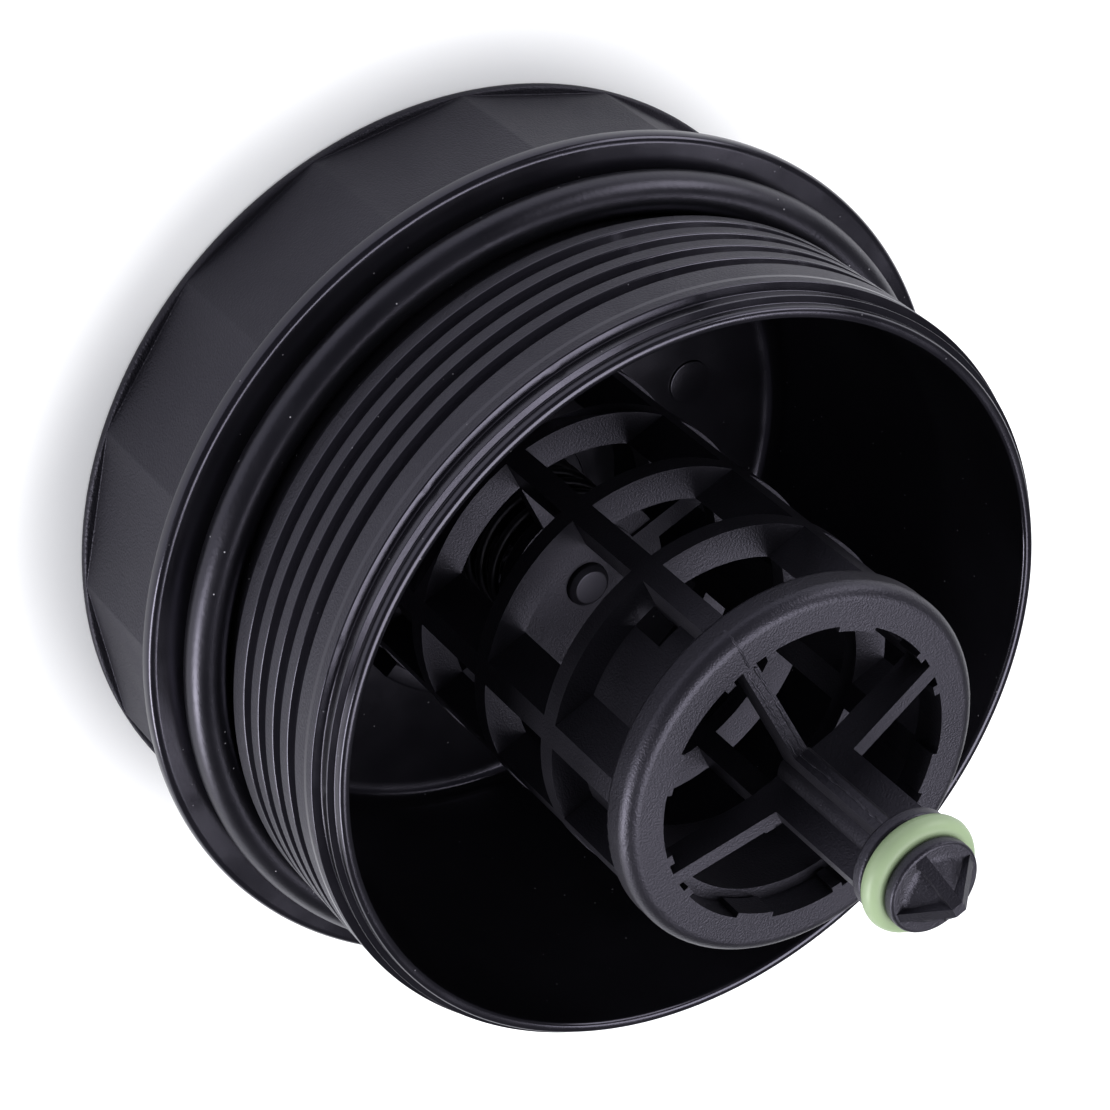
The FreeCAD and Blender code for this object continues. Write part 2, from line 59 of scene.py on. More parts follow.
bl_info = {
    "name": "Oil Filter Housing Cap",
    "version": (1, 0, 0),
    "blender": (4, 5, 0),
    "location": "3D View > Sidebar > Oil Filter",
    "description": "Builds the housing cap with its cage, seals and valve on the CAD frame, and its stage",
    "category": "Object",
}

MM = 0.001
CLOUD_SIZE = 7 * MM      # slow change of tone over a moulded surface
FLOW_WAVE = 5 * MM       # length of the flow waves on a polished surface
DUST_SPACING = 1.1 * MM  # cells of the pattern that dust specks are drawn in
WIRE_LINES = 0.4 * MM    # drawing marks on the spring's wire

CAP_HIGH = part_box("cap_body")[1]
SEAL_LOW, SEAL_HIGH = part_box("cap_o_ring")
PIN_SEAL_LOW, PIN_SEAL_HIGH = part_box("drain_pin_o_ring")
SEAT_LOW, SEAT_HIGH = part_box("valve_seat_ring")
PLUNGER_LOW, PLUNGER_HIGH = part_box("bypass_plunger")
SPRING_LOW, SPRING_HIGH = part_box("bypass_spring")
MOUNTS = {mount["name"]: mount for mount in frame["record"]["mounts"]}
CREST_R = MOUNTS["skirt_thread"]["dims"]["r_mm"] * MM
LEAD_R = 40.2 * MM


# ---- sizes and colours that a user may change --------------------------------------------------

class OilFilterCap(bpy.types.PropertyGroup):
    """Sizes and colours of the moulded cap."""
    flats: bpy.props.IntProperty(
        name="Grip Flats", description="Number of flats round the grip", default=16, min=6)
    across_flats: bpy.props.FloatProperty(
        name="Across Flats", description="Width of the grip between two opposite flats",
        default=86.0 * MM, unit="LENGTH", precision=4)
    corner_angle: bpy.props.FloatProperty(
        name="Corner Angle", description="Where one corner of the grip stands",
        default=math.radians(-3.5), subtype="ANGLE")
    thread_pitch: bpy.props.FloatProperty(
        name="Thread Pitch", description="Rise of the thread in one turn",
        default=3.0 * MM, unit="LENGTH", precision=4)
    thread_depth: bpy.props.FloatProperty(
        name="Thread Depth", description="Depth of the groove below the flat crests",
        default=1.1 * MM, unit="LENGTH", precision=4)
    thread_turns: bpy.props.FloatProperty(
        name="Thread Turns", description="Length of the groove in turns", default=4.1)
    colour: bpy.props.FloatVectorProperty(
        name="Plastic", description="Colour of the black nylon, linear", subtype="COLOR",
        size=3, min=0, max=1, default=(0.0040, 0.0038, 0.0050))
    grain: bpy.props.FloatProperty(
        name="Grain", description="Size of the grain that the spark-eroded mould leaves",
        default=0.24 * MM, unit="LENGTH", precision=5)


class OilFilterSeals(bpy.types.PropertyGroup):
    """Colours of the two seals."""
    main_colour: bpy.props.FloatVectorProperty(
        name="Main Seal", description="Colour of the black rubber, linear", subtype="COLOR",
        size=3, min=0, max=1, default=(0.0030, 0.0030, 0.0038))
    pin_colour: bpy.props.FloatVectorProperty(
        name="Pin Seal", description="Colour of the green rubber, linear", subtype="COLOR",
        size=3, min=0, max=1, default=(0.215, 0.280, 0.165))


class OilFilterSpring(bpy.types.PropertyGroup):
    """Sizes of the bypass valve's spring."""
    wire: bpy.props.FloatProperty(
        name="Wire", description="Thickness of the spring's wire",
        default=1.2 * MM, unit="LENGTH", precision=4)
    coils: bpy.props.FloatProperty(
        name="Coils", description="Number of coils", default=5.0)


class OilFilterStage(bpy.types.PropertyGroup):
    """Floor and lamps."""
    floor_colour: bpy.props.FloatVectorProperty(
        name="Floor", description="Colour of the paper floor, linear", subtype="COLOR",
        size=3, min=0, max=1, default=(0.93, 0.93, 0.935))
    lamp_power: bpy.props.FloatProperty(
        name="Lamp Power", description="Power of the overhead soft lamp",
        default=8.5, unit="POWER")


# ---- materials ------------------------------------------------------------------------------------

def linear(code):
    """Linear colour of an sRGB hex code."""
    parts = [int(code[i:i + 2], 16) / 255 for i in (1, 3, 5)]
    return tuple(c / 12.92 if c <= 0.04045 else ((c + 0.055) / 1.055) ** 2.4 for c in parts) + (1.0,)


def add_node(tree, kind, settings=(), **inputs):
    """A node with its settings, and a value or a link for each input named or numbered."""
    node = tree.nodes.new(kind)
    for name, value in dict(settings).items():
        setattr(node, name, value)
    for name, value in inputs.items():
        key = int(name[1:]) if name[0] == "i" and name[1:].isdigit() else name.replace("_", " ")
        socket = node.inputs[key]
        if isinstance(value, bpy.types.NodeSocket):
            tree.links.new(value, socket)
        else:
            socket.default_value = value
    return node


def ramp(tree, factor, low, high, start=0.0, end=1.0):
    """factor, mapped from the range start to end onto low to high."""
    node = add_node(tree, "ShaderNodeMapRange", i0=factor, i1=start, i2=end, i3=low, i4=high)
    return node.outputs[0]


def empty_tree(owner):
    """The node tree of a material or world, cleared."""
    owner.use_nodes = True
    owner.node_tree.nodes.clear()
    return owner.node_tree


def moulded(name, colour, roughness, grain, grain_depth, wave=0.0, tint="#E9E4FF", ior=1.53, specks=0.0):
    """A moulded material: base colour, grain of a real size, slow waves and a few dust specks."""
    tree = empty_tree(bpy.data.materials.new(name))
    place = add_node(tree, "ShaderNodeTexCoord").outputs["Object"]
    fine = add_node(tree, "ShaderNodeTexNoise", Vector=place, Scale=1 / grain, Detail=2.0, Roughness=0.55)
    cloud = add_node(tree, "ShaderNodeTexNoise", Vector=place, Scale=1 / CLOUD_SIZE, Detail=3.0)
    dark = tuple(0.75 * c for c in colour) + (1.0,)
    pale = tuple(min(1.0, 1.25 * c) for c in colour) + (1.0,)
    base = add_node(tree, "ShaderNodeMix", {"data_type": "RGBA"}, i0=cloud.outputs["Fac"], i6=dark, i7=pale)
    shade = base.outputs[2]
    rough = add_node(
        tree, "ShaderNodeMath", {"operation": "ADD"},
        i0=ramp(tree, cloud.outputs["Fac"], roughness - 0.05, roughness + 0.05, 0.3, 0.7),
        i1=ramp(tree, fine.outputs["Fac"], -0.04, 0.04),
    ).outputs[0]
    if specks:
        dots = add_node(tree, "ShaderNodeTexVoronoi", Vector=place, Scale=1 / DUST_SPACING, Randomness=1.0)
        spot = ramp(tree, dots.outputs["Distance"], 1.0, 0.0, 0.03, 0.09)
        few = ramp(tree, add_node(tree, "ShaderNodeSeparateColor", Color=dots.outputs["Color"]).outputs[0],
                   0.0, specks, 0.80, 0.84)
        amount = add_node(tree, "ShaderNodeMath", {"operation": "MULTIPLY"}, i0=spot, i1=few).outputs[0]
        shade = add_node(tree, "ShaderNodeMix", {"data_type": "RGBA"}, i0=amount, i6=shade,
                         i7=linear("#B9B7BE")).outputs[2]
    normal = add_node(tree, "ShaderNodeBump", Strength=1.0, Distance=grain_depth,
                      Height=fine.outputs["Fac"]).outputs["Normal"]
    if wave:
        slow = add_node(tree, "ShaderNodeTexNoise", Vector=place, Scale=1 / FLOW_WAVE, Detail=1.0)
        normal = add_node(tree, "ShaderNodeBump", Strength=0.5, Distance=wave,
                          Height=slow.outputs["Fac"], Normal=normal).outputs["Normal"]
    surface = add_node(tree, "ShaderNodeBsdfPrincipled", Base_Color=shade, Roughness=rough, IOR=ior,
                       Specular_Tint=linear(tint), Normal=normal)
    add_node(tree, "ShaderNodeOutputMaterial", Surface=surface.outputs[0])


def drawn_steel(name):
    """Drawn spring wire: bright metal with fine lines along the wire and a thin film of oil."""
    tree = empty_tree(bpy.data.materials.new(name))
    place = add_node(tree, "ShaderNodeTexCoord").outputs["Object"]
    lines = add_node(tree, "ShaderNodeTexNoise", Vector=place, Scale=1 / WIRE_LINES, Detail=3.0)
    base = add_node(tree, "ShaderNodeMix", {"data_type": "RGBA"}, i0=lines.outputs["Fac"],
                    i6=linear("#5C5B5E"), i7=linear("#7C7B7E"))
    bump = add_node(tree, "ShaderNodeBump", Strength=0.3, Distance=0.01 * MM, Height=lines.outputs["Fac"])
    surface = add_node(tree, "ShaderNodeBsdfPrincipled", Base_Color=base.outputs[2], Metallic=1.0,
                       Roughness=ramp(tree, lines.outputs["Fac"], 0.24, 0.38), Normal=bump.outputs[0])
    add_node(tree, "ShaderNodeOutputMaterial", Surface=surface.outputs[0])


def material_set():
    """Every material, made once."""
    if "glass_filled_nylon_grained" in bpy.data.materials:
        return bpy.data.materials
    scene = bpy.context.scene
    cap, seals = scene.oil_filter_cap, scene.oil_filter_seals
    black = tuple(cap.colour)
    # Glass-filled nylon from a spark-eroded mould: matt, with a fine even grain.
    moulded("glass_filled_nylon_grained", black, 0.50, cap.grain, 0.11 * MM)
    # The same nylon from a polished mould: glossy, with slow flow waves.
    moulded("glass_filled_nylon_polished", black, 0.20, cap.grain, 0.003 * MM, wave=0.02 * MM, specks=0.25)
    # The cage's nylon: satin, with a shallower grain.
    moulded("glass_filled_nylon_satin", black, 0.42, 0.22 * MM, 0.050 * MM)
    # Nitrile rubber: soft sheen, fine skin, dust that clings to it.
    moulded("nitrile_rubber_black", tuple(seals.main_colour), 0.36, 0.45 * MM, 0.020 * MM, ior=1.50,
            specks=0.9)
    # Coloured silicone rubber of the pin's seal: pale, satin.
    moulded("silicone_rubber_green", tuple(seals.pin_colour), 0.42, 0.35 * MM, 0.010 * MM, tint="#FFFFFF",
            ior=1.43)
    # Nylon of the valve, satin.
    moulded("nylon_valve_black", tuple(2 * c for c in black), 0.38, 0.3 * MM, 0.010 * MM)
    drawn_steel("spring_steel_drawn")
    return bpy.data.materials


# ---- mesh making ------------------------------------------------------------------------------------

def eased(corners, steps=4):
    """Points of an outline with each corner eased: (point, material number of the line after it).

    Each corner is (radius, height, set-back of the rounding, material number of the line that follows).
    The count of points depends only on the corners' count and their set-backs being zero or not.
    """
    points = []
    for index, (r, z, setback, number) in enumerate(corners):
        here = Vector((r, z))
        if not setback or index in (0, len(corners) - 1):
            points.append((here, number))
            continue
        before = Vector(corners[index - 1][:2]) - here
        after = Vector(corners[index + 1][:2]) - here
        start = here + before * min(0.48, setback / max(before.length, 1e-9))
        end = here + after * min(0.48, setback / max(after.length, 1e-9))
        for step in range(steps + 1):
            t = step / steps
            point = start * (1 - t) ** 2 + here * 2 * t * (1 - t) + end * t ** 2
            points.append((point, number))
    return points


def placed(name, data):
    """A new object in the scene."""
    made = bpy.data.objects.new(name, data)
    bpy.context.scene.collection.objects.link(made)
    return made


def face_outwards(mesh, merge=0.0):
    """Turn every normal outwards, once points closer than merge are one."""
    work = bmesh.new()
    work.from_mesh(mesh)
    if merge:
        bmesh.ops.remove_doubles(work, verts=work.verts, dist=merge)
    bmesh.ops.recalc_face_normals(work, faces=work.faces)
    work.to_mesh(mesh)
    work.free()


def new_piece(name, points, faces, numbers, materials):
    """A smooth-shaded mesh object whose flat faces keep flat shading up to their rounded edges."""
    mesh = bpy.data.meshes.new(name)
    mesh.from_pydata(points, [], faces)
    for material in materials:
        mesh.materials.append(material)
    mesh.polygons.foreach_set("material_index", numbers)
    face_outwards(mesh)
    mesh.shade_smooth()
    piece = placed(name, mesh)
    weigh_normals(piece)
    return piece


def weigh_normals(piece):
    """Large faces decide the shading at their edges."""
    weighted = piece.modifiers.new("Weighted Normals", "WEIGHTED_NORMAL")
    weighted.weight = 100
    weighted.keep_sharp = True


def strip_faces(a, b, marks):
    """(face, material number) between two columns of points; a pole makes a triangle."""
    result = []
    for i in range(len(a) - 1):
        face = list(dict.fromkeys((a[i], b[i], b[i + 1], a[i + 1])))
        if len(face) > 2:
            result.append((face, marks[i]))
    return result


def turned_columns(columns, closed=True, tail=None):
    """Points, faces and material numbers of a surface whose outline may change with the angle.

    columns is [(angle, [(radius, height), ...], [number, ...])]. Points on the axis become one.
    tail(first, last) may return the faces between the last column and the first by itself.
    """
    points, made, index_of, poles = [], [], [], {}
    for angle, outline, _ in columns:
        row = []
        for r, z in outline:
            if r < 1e-9:
                if z not in poles:
                    poles[z] = len(points)
                    points.append((0.0, 0.0, z))
                row.append(poles[z])
            else:
                row.append(len(points))
                points.append((r * math.cos(angle), r * math.sin(angle), z))
        index_of.append(row)

    for j in range(len(columns) - 1):
        made += strip_faces(index_of[j], index_of[j + 1], columns[j][2])
    if tail:
        made += tail(index_of[0], index_of[-1], points)
    elif closed:
        made += strip_faces(index_of[-1], index_of[0], columns[-1][2])
    return points, [face for face, _ in made], [number for _, number in made]


def lathe(corners, count=256, steps=4):
    """A surface turned about Z from an eased outline."""
    outline = eased(corners, steps)
    rows = [tuple(point) for point, _ in outline]
    marks = [number for _, number in outline]
    return turned_columns([(math.tau * j / count, rows, marks) for j in range(count)])


def zip_lines(low, high, points):
    """Triangles between two lines of points that run up side by side."""
    faces, i, j = [], 0, 0
    while i < len(low) - 1 or j < len(high) - 1:
        step_low = j == len(high) - 1 or (
            i < len(low) - 1 and points[low[i + 1]][2] <= points[high[j + 1]][2])
        if step_low:
            faces.append([low[i], high[j], low[i + 1]])
            i += 1
        else:
            faces.append([low[i], high[j], high[j + 1]])
            j += 1
    return faces


def finish_piece(piece, body, nodes):
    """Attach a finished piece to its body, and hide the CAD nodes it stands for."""
    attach(piece, body)
    if nodes:
        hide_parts(*nodes)


# ---- the cap ----------------------------------------------------------------------------------------

GRAINED, POLISHED = 0, 1
SLOT_STEPS = 3    # steps of each rounding in a groove
THREAD_SLOTS = 5  # grooves that a column can cross
GATE_MARK_R = 2.0 * MM
GATE_MARK_DEPTH = 0.4 * MM
END_RECESS_R = 33.0 * MM
END_RECESS_DEPTH = 0.8 * MM
RIM_STAND_OUT = 0.1 * MM  # closed end's round rim beyond the grip's corners
RIM_LENGTH = 1.2 * MM
CORNER_EASE = 0.012 * MM
GRIP_LENGTH = 19.8 * MM
FLANGE_FRONT = 21.9 * MM
GLAND_FRONT = 28.0 * MM
GLAND_R = 39.6 * MM
SHOULDER_R = 40.7 * MM
BAND_LOW = 28.8 * MM
BAND_HIGH = 44.9 * MM
THREAD_LOW = 29.9 * MM
GROOVE_WIDTH = 1.5 * MM
GROOVE_MARGIN = 0.4 * MM  # flat crest kept on both sides of a groove
ROOT_WIDTH = 0.35 * MM
RUN_IN_TURNS = 0.012      # the groove reaches its depth over this part of a turn
GATE_TURNS_BEFORE = 0.003
GATE_FRONT_MARGIN = 1.1 * MM  # the groove's last row this far behind the band's front
PLAIN_WIDTH = 0.3         # share of their width that rows without a groove keep
PLAIN_Z = 43.7 * MM  # where the rows of a groove that has run out lie on the plain band
THREAD_START = math.radians(-161.0)
GATE_ANGLE = math.radians(20.0)
BEAD_HEIGHT = 0.24 * MM
BEAD_LOW, BEAD_HIGH = 46.50 * MM, 46.72 * MM
LIP_R = 39.75 * MM
MOUTH_R = 38.6 * MM
FLOOR_R = 37.7 * MM
FLOOR_Z = 4.0 * MM


def grip_radius(angle, cap):
    """Radius of the grip's side at an angle, with its corners slightly rounded."""
    step = math.tau / cap.flats
    off = (angle - cap.corner_angle) % step - step / 2
    corner = cap.across_flats / 2 / math.cos(step / 2)
    return min(cap.across_flats / 2 / math.cos(off), corner - CORNER_EASE)


def cap_angles(cap):
    """Angles of the columns: close to both sides of each corner, and about one degree apart between."""
    step = math.tau / cap.flats
    near = math.radians(0.24)
    inner = 22
    angles = []
    for flat in range(cap.flats):
        corner = THREAD_START + flat * step
        angles += [corner, corner + near]
        angles += [corner + near + (step - 2 * near) * k / inner for k in range(1, inner + 1)]
    return angles


def cap_outline(angle, cap):
    """Outline of the cap at one angle, from the outer centre of the closed end to the floor inside."""
    side = grip_radius(angle, cap)
    turn = (angle - THREAD_START) / math.tau
    last = cap.thread_turns
    run_out = math.fmod(last, 1.0)
    in_gate = run_out - GATE_TURNS_BEFORE < turn < run_out + GATE_ANGLE / math.tau
    flange_r = CAP_HIGH.x
    rim_r = cap.across_flats / 2 / math.cos(math.pi / cap.flats) + RIM_STAND_OUT
    corners = [
        (0, GATE_MARK_DEPTH, 0, POLISHED),
        (GATE_MARK_R, GATE_MARK_DEPTH, 0.15 * MM, POLISHED),
        (GATE_MARK_R, END_RECESS_DEPTH, 0.12 * MM, GRAINED),
        (END_RECESS_R, END_RECESS_DEPTH, 0.25 * MM, GRAINED),
        (END_RECESS_R, 0.0, 0.2 * MM, GRAINED),
        (rim_r, 0.0, 0.6 * MM, GRAINED),
        (rim_r, RIM_LENGTH, 0.5 * MM, GRAINED),
        (side, RIM_LENGTH, 0.12 * MM, GRAINED),
        (side, GRIP_LENGTH, 0.35 * MM, POLISHED),
        (flange_r, GRIP_LENGTH, 0.85 * MM, POLISHED),
        (flange_r, FLANGE_FRONT, 0.85 * MM, POLISHED),
        (GLAND_R, FLANGE_FRONT, 0.3 * MM, POLISHED),
        (GLAND_R, GLAND_FRONT, 0.3 * MM, POLISHED),
        (SHOULDER_R, GLAND_FRONT, 0.2 * MM, POLISHED),
        (SHOULDER_R, BAND_LOW, 0.08 * MM, POLISHED),
        (CREST_R, BAND_LOW, 0.10 * MM, GRAINED),
    ]
    lower = eased(corners)[:-1] + [(Vector((CREST_R, BAND_LOW + 0.12 * MM)), GRAINED)]
    thread = []
    for k in range(THREAD_SLOTS):
        along = k + turn
        gate = in_gate and k == int(last)
        cut = gate or along < last
        middle = THREAD_LOW + cap.thread_pitch * min(along, last) if cut else PLAIN_Z
        wide = 1.0 if cut else PLAIN_WIDTH
        low_r = CREST_R - cap.thread_depth * (min(1.0, along / RUN_IN_TURNS) if cut else 0.0)
        high, high_r = middle + wide * GROOVE_WIDTH / 2, CREST_R
        if gate:
            high, high_r = BAND_HIGH - GATE_FRONT_MARGIN, low_r
        thread += eased([
            (CREST_R, middle - wide * (GROOVE_WIDTH / 2 + GROOVE_MARGIN), 0, GRAINED),
            (CREST_R, middle - wide * GROOVE_WIDTH / 2, wide * 0.16 * MM, POLISHED),
            (low_r, middle - wide * ROOT_WIDTH / 2, wide * 0.10 * MM, POLISHED),
            (low_r, middle + wide * ROOT_WIDTH / 2, wide * 0.10 * MM, POLISHED),
            (high_r, high, wide * 0.16 * MM, GRAINED),
            (high_r, high + wide * GROOVE_MARGIN, 0, GRAINED),
        ], SLOT_STEPS)[1:-1]
    front_r = CREST_R - cap.thread_depth if in_gate else CREST_R
    upper = eased([
        (front_r, BAND_HIGH - 0.6 * MM, 0, GRAINED),
        (front_r, BAND_HIGH, 0.14 * MM, POLISHED),
        (min(front_r, LEAD_R), BAND_HIGH + 0.25 * MM, 0.12 * MM, POLISHED),
        (LEAD_R, BAND_HIGH + 0.5 * MM, 0, POLISHED),
        (LEAD_R, 46.42 * MM, 0.1 * MM, POLISHED),
        (LEAD_R + BEAD_HEIGHT, BEAD_LOW, 0.06 * MM, POLISHED),
        (LEAD_R + BEAD_HEIGHT, BEAD_HIGH, 0.06 * MM, POLISHED),
        (LIP_R, 46.92 * MM, 0.12 * MM, POLISHED),
        (LIP_R, CAP_HIGH.z, 0.5 * MM, POLISHED),
        (MOUTH_R, CAP_HIGH.z, 0.5 * MM, POLISHED),
        (FLOOR_R + (MOUTH_R - FLOOR_R) / 2, (CAP_HIGH.z + FLOOR_Z) / 2, 0, POLISHED),
        (FLOOR_R, FLOOR_Z, 2.0 * MM, POLISHED),
        (30.0 * MM, FLOOR_Z, 0, POLISHED),
        (12.0 * MM, FLOOR_Z, 0, POLISHED),
        (0, FLOOR_Z, 0, POLISHED),
    ])
    whole = lower + thread + upper
    return [tuple(point) for point, _ in whole], [mark for _, mark in whole], len(lower), len(thread)


def cap_tail(below, thread_count, marks):
    """Faces between the last column and the first, where each groove meets the next one up."""
    per_slot = thread_count // THREAD_SLOTS
    above = below + thread_count

    def faces(first, last, points):
        result = strip_faces(last[:below], first[:below], marks)
        for k in range(THREAD_SLOTS - 1):
            for p in range(per_slot - 1):
                a, b = below + k * per_slot + p, below + (k + 1) * per_slot + p
                result.append(([last[a], first[b], first[b + 1], last[a + 1]], marks[a]))
            if k:
                a, b = below + k * per_slot - 1, below + (k + 1) * per_slot - 1
                result.append(([last[a], first[b], first[b + 1], last[a + 1]], marks[a]))
        low_line = [last[below - 1], last[below]]
        high_line = [first[i] for i in range(below - 1, below + per_slot + 1)]
        result += [(face, GRAINED) for face in zip_lines(low_line, high_line, points)]
        low_line = [last[i] for i in range(above - per_slot - 1, above + 1)]
        high_line = [first[above - 1], first[above]]
        result += [(face, GRAINED) for face in zip_lines(low_line, high_line, points)]
        return result + strip_faces(last[above:], first[above:], marks[above:])
    return faces


class OBJECT_OT_oil_filter_cap(bpy.types.Operator):
    """Add the moulded cap: grip, flange, gland, thread, lip and bore"""
    bl_idname = "object.oil_filter_cap"
    bl_label = "Add Cap"

    def execute(self, context):
        cap = context.scene.oil_filter_cap
        materials = material_set()
        columns = []
        for angle in cap_angles(cap):
            rows, marks, below, thread_count = cap_outline(angle, cap)
            columns.append((angle, rows, marks))
        points, faces, numbers = turned_columns(
            columns, tail=cap_tail(below, thread_count, columns[0][2]))
        piece = new_piece("cap_shell", points, faces, numbers, [
            materials["glass_filled_nylon_grained"], materials["glass_filled_nylon_polished"]])
        finish_piece(piece, "cap", ["cap_body"])
        return {"FINISHED"}


# ---- what repeats round the axis, and the spring, by geometry nodes ---------------------------------

def geometry_tree(name, **sockets):
    """A geometry node tree with the inputs named (underscores for spaces), and its input node's outputs."""
    tree = bpy.data.node_groups.new(name, "GeometryNodeTree")
    for label, kind in sockets.items():
        tree.interface.new_socket(label.replace("_", " "), in_out="INPUT", socket_type="NodeSocket" + kind)
    tree.interface.new_socket("Geometry", in_out="OUTPUT", socket_type="NodeSocketGeometry")
    return tree, add_node(tree, "NodeGroupInput").outputs


def end_tree(tree, geometry, material):
    """The tree's last nodes: real instances, then the material."""
    real = add_node(tree, "GeometryNodeRealizeInstances", Geometry=geometry)
    painted = add_node(tree, "GeometryNodeSetMaterial", Geometry=real.outputs[0], Material=material)
    tree.links.new(painted.outputs[0], add_node(tree, "NodeGroupOutput").inputs[0])
    return tree


def ring_tree(name):
    """Tree that repeats its mesh round the Z axis: Count copies from First Angle on."""
    tree, given = geometry_tree(name, Geometry="Geometry", Count="Int", First_Angle="Float",
                                Material="Material")
    count, first = given["Count"], given["First Angle"]
    step = add_node(tree, "ShaderNodeMath", {"operation": "DIVIDE"}, i0=math.tau, i1=count)
    index = add_node(tree, "GeometryNodeInputIndex")
    angle = add_node(tree, "ShaderNodeMath", {"operation": "MULTIPLY_ADD"},
                     i0=index.outputs[0], i1=step.outputs[0], i2=first)
    euler = add_node(tree, "ShaderNodeCombineXYZ", Z=angle.outputs[0])
    turn = add_node(tree, "FunctionNodeEulerToRotation", i0=euler.outputs[0])
    spots = add_node(tree, "GeometryNodePoints", Count=count)
    copies = add_node(tree, "GeometryNodeInstanceOnPoints", Points=spots.outputs[0],
                      Instance=given["Geometry"], Rotation=turn.outputs[0])
    return end_tree(tree, copies.outputs[0], given["Material"])


def spring_tree(name):
    """Tree that sweeps a round wire along a helix between two heights."""
    tree, given = geometry_tree(name, Coils="Float", Mean_Radius="Float", Height="Float", Wire="Float",
                                Start_Height="Float", Material="Material")
    helix = add_node(tree, "GeometryNodeCurveSpiral", Resolution=72, Rotations=given["Coils"],
                     Start_Radius=given["Mean Radius"], End_Radius=given["Mean Radius"],
                     Height=given["Height"])
    lift = add_node(tree, "ShaderNodeCombineXYZ", Z=given["Start Height"])
    lifted = add_node(tree, "GeometryNodeTransform", Geometry=helix.outputs[0], Translation=lift.outputs[0])
    half = add_node(tree, "ShaderNodeMath", {"operation": "MULTIPLY"}, i0=given["Wire"], i1=0.5)
    section = add_node(tree, "GeometryNodeCurvePrimitiveCircle", Resolution=20, Radius=half.outputs[0])
    swept = add_node(tree, "GeometryNodeCurveToMesh", Curve=lifted.outputs[0],
                     Profile_Curve=section.outputs[0], Fill_Caps=True)
    smooth = add_node(tree, "GeometryNodeSetShadeSmooth", Geometry=swept.outputs[0], Shade_Smooth=True)
    return end_tree(tree, smooth.outputs[0], given["Material"])


def flash_tree(name):
    """Tree that turns lines into thin ragged ridges, such as a mould's parting line leaves."""
    tree, given = geometry_tree(name, Geometry="Geometry", Width="Float", Raggedness="Float",
                                Grain="Float", Material="Material")
    lines = add_node(tree, "GeometryNodeMeshToCurve", Mesh=given["Geometry"])
    fine = add_node(tree, "GeometryNodeResampleCurve", {"mode": "LENGTH"}, Curve=lines.outputs[0],
                    Length=given["Grain"])
    scale = add_node(tree, "ShaderNodeMath", {"operation": "DIVIDE"}, i0=0.5, i1=given["Grain"])
    noise = add_node(tree, "ShaderNodeTexNoise", Scale=scale.outputs[0], Detail=2.0)
    centred = add_node(tree, "ShaderNodeVectorMath", {"operation": "SUBTRACT"},
                       i0=noise.outputs["Color"], i1=(0.5, 0.5, 0.5))
    offset = add_node(tree, "ShaderNodeVectorMath", {"operation": "SCALE"}, i0=centred.outputs[0],
                      Scale=given["Raggedness"])
    ragged = add_node(tree, "GeometryNodeSetPosition", Geometry=fine.outputs[0], Offset=offset.outputs[0])
    half = add_node(tree, "ShaderNodeMath", {"operation": "MULTIPLY"}, i0=given["Width"], i1=0.5)
    section = add_node(tree, "GeometryNodeCurvePrimitiveCircle", Resolution=6, Radius=half.outputs[0])
    swept = add_node(tree, "GeometryNodeCurveToMesh", Curve=ragged.outputs[0],
                     Profile_Curve=section.outputs[0], Fill_Caps=True)
    return end_tree(tree, swept.outputs[0], given["Material"])


def grown(name, mesh, tree, inputs):
    """A plain mesh object made by a geometry node tree from a start mesh."""
    maker = placed(name + "_maker", mesh)
    modifier = maker.modifiers.new("Nodes", "NODES")
    modifier.node_group = tree
    for item in tree.interface.items_tree:
        if item.in_out == "INPUT" and item.name in inputs:
            modifier[item.identifier] = inputs[item.name]
    bpy.context.view_layer.update()
    graph = bpy.context.evaluated_depsgraph_get()
    made = bpy.data.meshes.new_from_object(maker.evaluated_get(graph), depsgraph=graph)
    made.name = name
    bpy.data.objects.remove(maker)
    if not made.polygons:
        raise RuntimeError("%s came out empty" % name)
    return placed(name, made)


SHARP_ANGLE = math.radians(50)
FINGER_INNER_R, FINGER_OUTER_R = 19.6 * MM, 21.4 * MM
FINGER_TOP = 10.6 * MM
HOOK_R, HOOK_LOW, HOOK_HIGH = 18.4 * MM, 8.6 * MM, 9.6 * MM
PAD_INNER_R, PAD_OUTER_R, PAD_TOP = 13.0 * MM, 19.0 * MM, 5.4 * MM
EJECTOR_R, EJECTOR_TOP, EJECTOR_CIRCLE_R = 2.5 * MM, FLOOR_Z + 0.25 * MM, 27.0 * MM
ROOT_Z = FLOOR_Z - 0.3 * MM  # fingers, pads and marks start this far inside the floor


def sector_mesh(name, corners, width, count=24, steps=3):
    """Closed mesh of a piece of a turned ring, with capped ends."""
    outline = eased(corners + [corners[0]], steps)
    rows = [tuple(point) for point, _ in outline][:-1]
    columns = [(width * (j / (count - 1) - 0.5), rows + [rows[0]], [0] * (len(rows) + 1))
               for j in range(count)]
    points, faces, _ = turned_columns(columns, closed=False)
    n = len(rows) + 1
    faces.append(list(range(len(rows))))
    faces.append([n * (count - 1) + i for i in reversed(range(len(rows)))])
    mesh = bpy.data.meshes.new(name)
    mesh.from_pydata(points, [], faces)
    face_outwards(mesh, merge=1e-7)
    mesh.shade_smooth()
    mesh.set_sharp_from_angle(angle=SHARP_ANGLE)
    return mesh


